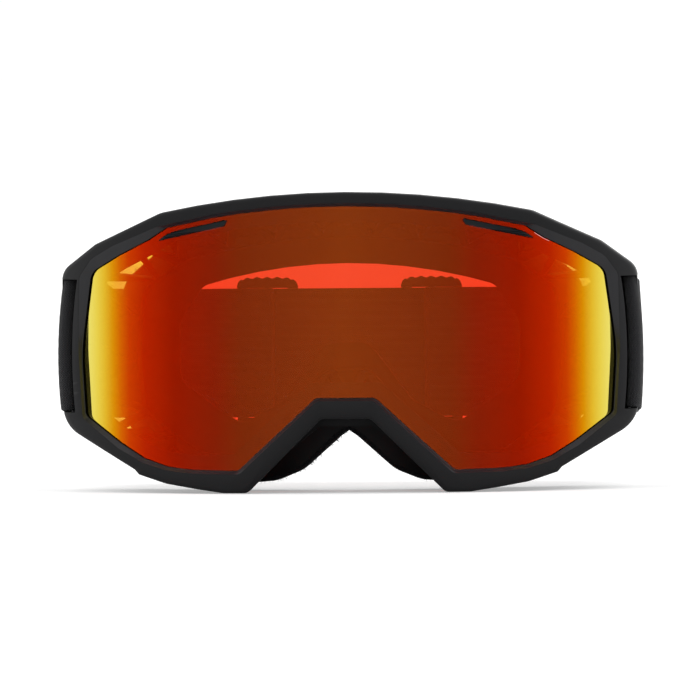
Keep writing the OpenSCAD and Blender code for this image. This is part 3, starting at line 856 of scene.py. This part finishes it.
def grow(name, carrier, tree, values):
    # runs a tree on a carrier mesh and keeps the result as a plain mesh of its own
    piece = bpy.data.objects.new(name, carrier)
    bpy.context.scene.collection.objects.link(piece)
    mod = piece.modifiers.new("nodes", "NODES")
    mod.node_group = tree
    for item in tree.interface.items_tree:
        if item.item_type == "SOCKET" and item.in_out == "INPUT" and item.name in values:
            mod[item.identifier] = values[item.name]
    graph = bpy.context.evaluated_depsgraph_get()
    mesh = bpy.data.meshes.new_from_object(piece.evaluated_get(graph))
    piece.modifiers.clear()
    piece.data = mesh
    mesh.name = name
    mesh.shade_smooth()
    return piece


def pileTree():
    tree, add, into, out = geometryTree("fleecePile", {
        "Density": ("Float", 1.0e6), "Length": ("Float", 0.0008), "Thickness": ("Float", 0.00007),
        "Lean": ("Float", 0.5), "Seed": ("Int", 7), "Finish": ("Material", None)})
    points = add("GeometryNodeDistributePointsOnFaces", {
        "Mesh": into.outputs["Geometry"], "Density": into.outputs["Density"], "Seed": into.outputs["Seed"]})
    blade = add("GeometryNodeMeshCone", {
        "Vertices": 3, "Side Segments": 1, "Radius Top": 0.0, "Radius Bottom": into.outputs["Thickness"],
        "Depth": into.outputs["Length"]})
    wander = add("FunctionNodeRandomValue", {0: (-1, -1, -1), 1: (1, 1, 1), "Seed": 3},
                 data_type="FLOAT_VECTOR")
    tilt = add("ShaderNodeVectorMath", {0: wander.outputs[0], "Scale": into.outputs["Lean"]},
               operation="SCALE")
    aim = add("ShaderNodeVectorMath", {0: points.outputs["Normal"], 1: tilt.outputs[0]}, operation="ADD")
    turned = add("FunctionNodeAlignRotationToVector", {"Vector": aim.outputs[0]}, axis="Z")
    size = add("FunctionNodeRandomValue", {2: 0.45, 3: 1.25, "Seed": 5}, data_type="FLOAT")
    placed = add("GeometryNodeInstanceOnPoints", {
        "Points": points.outputs["Points"], "Instance": blade.outputs["Mesh"],
        "Rotation": turned.outputs[0], "Scale": size.outputs[1]})
    closeTree(tree, add, into, out, placed.outputs[0])
    return tree


def stitchTree():
    tree, add, into, out = geometryTree("strapStitches", {
        "Pitch": ("Float", 0.0016), "Stitch Length": ("Float", 0.0012), "Thread": ("Float", 0.00045),
        "Finish": ("Material", None)})
    line = add("GeometryNodeMeshToCurve", {"Mesh": into.outputs["Geometry"]})
    points = add("GeometryNodeCurveToPoints", {"Curve": line.outputs[0], "Length": into.outputs["Pitch"]},
                 mode="LENGTH")
    bead = add("GeometryNodeMeshUVSphere", {"Segments": 8, "Rings": 5, "Radius": 0.5})
    size = add("ShaderNodeCombineXYZ", {0: into.outputs["Thread"], 1: into.outputs["Thread"],
                                        2: into.outputs["Stitch Length"]})
    shaped = add("GeometryNodeTransform", {"Geometry": bead.outputs["Mesh"], "Scale": size.outputs[0]})
    turned = add("FunctionNodeAlignRotationToVector", {"Vector": points.outputs["Tangent"]}, axis="Z")
    placed = add("GeometryNodeInstanceOnPoints", {
        "Points": points.outputs["Points"], "Instance": shaped.outputs[0], "Rotation": turned.outputs[0]})
    closeTree(tree, add, into, out, placed.outputs[0])
    return tree


pile = {"Density": 1.05e6, "Length": 0.0013, "Thickness": 0.00011, "Lean": 0.9, "Seed": 7,
        "Finish": finishes["fleece"]}
fleecePile = grow("fleece_pile", foamPieces["fleece_liner"].data, pileTree(), pile)
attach(fleecePile, "goggles")
print("fleece pile grown:", len(fleecePile.data.polygons), "faces")


strapRun = {
    "step": 0.8,
    "across": 44,
    "edgeRound": 0.5,
    "ribDepth": 0.05,
    "ribPitch": 3.4,
    "plainEdge": 2.2,     # width along each edge without ribs
    "shoulder": 0.7,      # the edge's thickness where it starts to round, as a share
    "shoulderIn": 0.12,
    "lean": 0.075,
    "stretchFrom": 14,    # how far behind the bars the stretch starts
    "stretchOver": 0.055,
    "overlap": 0.05,      # how far the rear web runs past its ends, so that no light shows
}
barBackY = faceY(halfWide) + form["frameDepth"] - form["barInset"]
wrapX = halfWide - form["barThickness"] / 2
wrapY = barBackY - form["barDepth"]
wrapRadius = form["barThickness"] / 2 + form["webGap"] + form["webThickness"] / 2
outerWebX = wrapX + wrapRadius
layerPitch = form["webThickness"] + form["webGap"]
slidersBackY = wrapY + ((cadHigh.y / mm - wrapY - form["sliderHalfHeight"] * math.sin(form["webDroop"]))
                        / math.cos(form["webDroop"]))
rearY = slidersBackY - form["sliderThickness"] - form["webGap"] - form["webThickness"] / 2
tailY = rearY - layerPitch
rearHalfWidth = outerWebX - form["bendRadius"]


def drooped(points):
    # tilts points about the bars in the ears, as the strap hangs
    p = np.array(points, float)
    c, s = math.cos(form["webDroop"]), math.sin(form["webDroop"])
    y, z = p[:, 1] - wrapY, p[:, 2] - form["webMiddleZ"]
    p[:, 1] = wrapY + y * c + z * s
    p[:, 2] = form["webMiddleZ"] - y * s + z * c
    return p


def arc(cx, cy, r, start, stop, n):
    t = np.radians(np.linspace(start, stop, n + 1))
    return [(cx + r * math.cos(a), cy + r * math.sin(a)) for a in t]


def evenly(path, gap):
    p = np.array(path, float)
    run = np.concatenate([[0], np.cumsum(np.linalg.norm(np.diff(p, axis=0), axis=1))])
    at = np.linspace(0, run[-1], max(2, int(run[-1] / gap)) + 1)
    return np.column_stack([np.interp(at, run, p[:, 0]), np.interp(at, run, p[:, 1])]), at


def webbing(name, path, node):
    # webbing on edge along a path seen from above, with UVs in millimetres along and across it
    p, run = evenly(path, strapRun["step"])
    ahead = np.gradient(p, axis=0)
    ahead /= np.linalg.norm(ahead, axis=1)[:, None]
    side = np.column_stack([-ahead[:, 1], ahead[:, 0]])
    half, t = form["webWidth"] / 2, form["webThickness"] / 2
    deep, thin = strapRun["ribDepth"], t * strapRun["shoulder"]
    high = half - strapRun["shoulderIn"]
    v = np.linspace(-half + strapRun["edgeRound"], half - strapRun["edgeRound"], strapRun["across"] + 1)
    ribbed = np.abs(v) < half - strapRun["plainEdge"]
    rib = deep * np.abs(np.sin(v * math.pi / strapRun["ribPitch"])) * ribbed
    section = [(t - deep + r, z) for z, r in zip(v, rib)]
    section += [(thin, high), (0, half), (-thin, high)]
    section += [(-t + deep - r, z) for z, r in zip(v[::-1], rib[::-1])]
    section += [(-thin, -high), (0, -half), (thin, -high)]
    section = np.array(section)
    m = len(section)
    verts = np.empty((len(p), m, 3))
    verts[:, :, :2] = p[:, None, :] + side[:, None, :] * section[None, :, :1]
    verts[:, :, 2] = form["webMiddleZ"] + section[None, :, 1]
    faces = []
    across = section[:, 1]
    for i in range(len(p) - 1):
        for k in range(m):
            q = (k + 1) % m
            faces.append((i * m + k, (i + 1) * m + k, (i + 1) * m + q, i * m + q))
    faces += [tuple(range(m))[::-1], tuple((len(p) - 1) * m + k for k in range(m))]
    points = verts.reshape(-1, 3).copy()
    # near the ears the webbing follows the bowed bar
    near = np.clip((20 - points[:, 1]) / 40, 0, 1)
    points[:, 0] += np.sign(points[:, 0]) * earBow(points[:, 2]) * near * near * (3 - 2 * near)
    # behind the ears it leans in a little towards the head
    lean = np.clip((points[:, 1] + 15) / 50, 0, 1)
    out = np.maximum(np.abs(points[:, 0]) - rearHalfWidth, 0)
    points[:, 0] -= np.sign(points[:, 0]) * out * strapRun["lean"] * lean * lean * (3 - 2 * lean)
    mesh = bpy.data.meshes.new(name)
    mesh.from_pydata([tuple(c) for c in drooped(points) * mm], [], faces)
    layer = mesh.uv_layers.new(name="webbing")
    index = np.empty(len(mesh.loops), int)
    mesh.loops.foreach_get("vertex_index", index)
    uv = np.column_stack([run[index // m], across[index % m]])
    layer.data.foreach_set("uv", uv.astype(np.float32).ravel())
    turnOutwards(mesh)
    piece = finishMesh(name, mesh, finishes["web"], sharpAt=50)
    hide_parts(node)
    return piece


def mirrorPath(path, side):
    return [(side * x, y) for x, y in path]


def sidePath():
    bendY = rearY - form["bendRadius"]
    bendX = outerWebX - form["bendRadius"]
    inner = arc(bendX, bendY, form["bendRadius"] - layerPitch, 90, 0, 30)
    inner += [(outerWebX - layerPitch, wrapY + 26), (wrapX - wrapRadius, wrapY + 9)]
    inner += arc(wrapX, wrapY, wrapRadius, 180, 360, 24)
    return inner + arc(bendX, bendY, form["bendRadius"], 0, 90, 30)


def makeSide(side, label):
    piece = webbing("webbing_side_" + label, mirrorPath(sidePath(), side), "strap_" + label)
    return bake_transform(piece)


makeSide(1, "right")
makeSide(-1, "left")
rearReach = rearHalfWidth + strapRun["overlap"]
rearWeb = webbing("webbing_rear", [(-rearReach, rearY), (rearReach, rearY)], "strap_rear")
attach(rearWeb, "strap")

sliderPlace = {"left": -29.0, "right": 22.0}
# the rows stand in from the rear web's ends, clear of the sliders' travel
stitching = {"rows": (0.6, 1.4, 2.2), "margin": 2.0, "lift": 0.02, "Pitch": 0.0016,
             "Stitch Length": 0.0013, "Thread": 0.0005, "Finish": finishes["thread"]}


def makeStitches():
    # rows of thread where each side of the strap is sewn to the rear web, on its outer face
    reach = form["webWidth"] / 2 - stitching["margin"]
    y = rearY + form["webThickness"] / 2 + stitching["lift"]
    verts, edges = [], []
    for side in (-1, 1):
        for row in stitching["rows"]:
            x = side * (rearHalfWidth - row)
            verts += [(x, y, form["webMiddleZ"] - reach), (x, y, form["webMiddleZ"] + reach)]
            edges.append((len(verts) - 2, len(verts) - 1))
    mesh = bpy.data.meshes.new("stitchLines")
    mesh.from_pydata([tuple(v) for v in drooped(verts) * mm], edges, [])
    piece = grow("strap_stitches", mesh, stitchTree(), stitching)
    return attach(piece, "strap")


makeStitches()


def tailPath(x):
    r = form["sliderThickness"] / 2 + form["webGap"] + form["webThickness"] / 2
    return ([(rearHalfWidth - form["webGap"], tailY)] + arc(x, tailY - r, r, 90, 270, 20)
            + [(x + 2, tailY - 2 * r), (x + 8, tailY - layerPitch), (x + 17, tailY - layerPitch)])


def makeTail(label):
    x = sliderPlace[label]
    side = 1 if x > 0 else -1
    piece = webbing("webbing_tail_" + label, mirrorPath(tailPath(abs(x)), side), "strap_tail_" + label)
    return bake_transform(piece)


makeTail("left")
makeTail("right")
print("strap made")


for node, key in {"face_chassis": "chassis", "lens_gasket": "gasket", "top_vent_foam": "ventFoam",
                  "side_vent_foam_left": "ventFoam", "side_vent_foam_right": "ventFoam",
                  "bottom_vent_foam_left": "ventFoam", "bottom_vent_foam_right": "ventFoam",
                  "slider_left": "slider", "slider_right": "slider"}.items():
    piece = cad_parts[node]
    piece.data.materials.clear()
    piece.data.materials.append(finishes[key])


studio = {
    "distance": 8.0,
    "azimuth": math.radians(2.0),
    "elevation": math.radians(1.2),
    "roll": math.radians(0.45),
    "pictureWidth": 0.2157,
    "aimX": -0.0010,
    "aimZ": 0.0421,
    "sensorWidth": 36.0,
    "clip": (0.05, 60),
    "floorHalf": 12.0,
    "floorZ": -0.0002,
    "floorTone": 0.85,
    "floorGlow": 0.34,    # keeps the paper white to the eye
    "worldSeen": 1.02,
    "worldLow": 0.98,
    "worldHigh": 1.2,
}


def makeStudio():
    floorMesh = bpy.data.meshes.new("floor")
    s, z = studio["floorHalf"], studio["floorZ"]
    floorMesh.from_pydata([(-s, -s, z), (s, -s, z), (s, s, z), (-s, s, z)], [], [(0, 1, 2, 3)])
    floor = bpy.data.objects.new("floor", floorMesh)
    bpy.context.scene.collection.objects.link(floor)
    paper, tree, add, shader = startMaterial("studioPaper")
    shader.inputs["Base Color"].default_value = (*[studio["floorTone"]] * 3, 1)
    shader.inputs["Roughness"].default_value = 0.9
    shader.inputs["Specular IOR Level"].default_value = 0.0
    shader.inputs["Emission Color"].default_value = (1, 1, 1, 1)
    seen = add("ShaderNodeLightPath").outputs["Is Camera Ray"]
    glow = add("ShaderNodeMath", {0: seen, 1: studio["floorGlow"]}, operation="MULTIPLY")
    tree.links.new(glow.outputs[0], shader.inputs["Emission Strength"])
    floorMesh.materials.append(paper)

    world = bpy.data.worlds.new("studio")
    world.use_nodes = True
    add = nodeMaker(world.node_tree)
    back = world.node_tree.nodes["Background"]
    back.inputs["Color"].default_value = (1, 1, 1, 1)
    path = add("ShaderNodeLightPath")
    up = add("ShaderNodeSeparateXYZ", {0: add("ShaderNodeTexCoord").outputs["Generated"]}).outputs[2]
    sky = add("ShaderNodeMapRange", {"Value": up, "From Min": -0.3, "From Max": 1.0,
                                     "To Min": studio["worldLow"], "To Max": studio["worldHigh"]})
    strength = add("ShaderNodeMix", {0: path.outputs["Is Camera Ray"], 2: sky.outputs[0],
                                     3: studio["worldSeen"]}, data_type="FLOAT")
    world.node_tree.links.new(strength.outputs[0], back.inputs["Strength"])
    bpy.context.scene.world = world

    lens = bpy.data.cameras.new("camera")
    lens.sensor_width = studio["sensorWidth"]
    lens.lens = studio["sensorWidth"] * studio["distance"] / studio["pictureWidth"]
    lens.clip_start, lens.clip_end = studio["clip"]
    camera = bpy.data.objects.new("camera", lens)
    bpy.context.scene.collection.objects.link(camera)
    az, el = studio["azimuth"], studio["elevation"]
    away = Vector((math.sin(az) * math.cos(el), -math.cos(az) * math.cos(el), math.sin(el)))
    right = Vector((math.cos(az), math.sin(az), 0))
    target = right * studio["aimX"] + Vector((0, 0, studio["aimZ"]))
    camera.location = target + away * studio["distance"]
    look = (target - camera.location).to_track_quat("-Z", "Y")
    camera.rotation_euler = (look.to_matrix() @ Matrix.Rotation(-studio["roll"], 3, "Z")).to_euler()
    bpy.context.scene.camera = camera
    bpy.context.scene.view_settings.view_transform = "Standard"


makeStudio()
print("studio made")
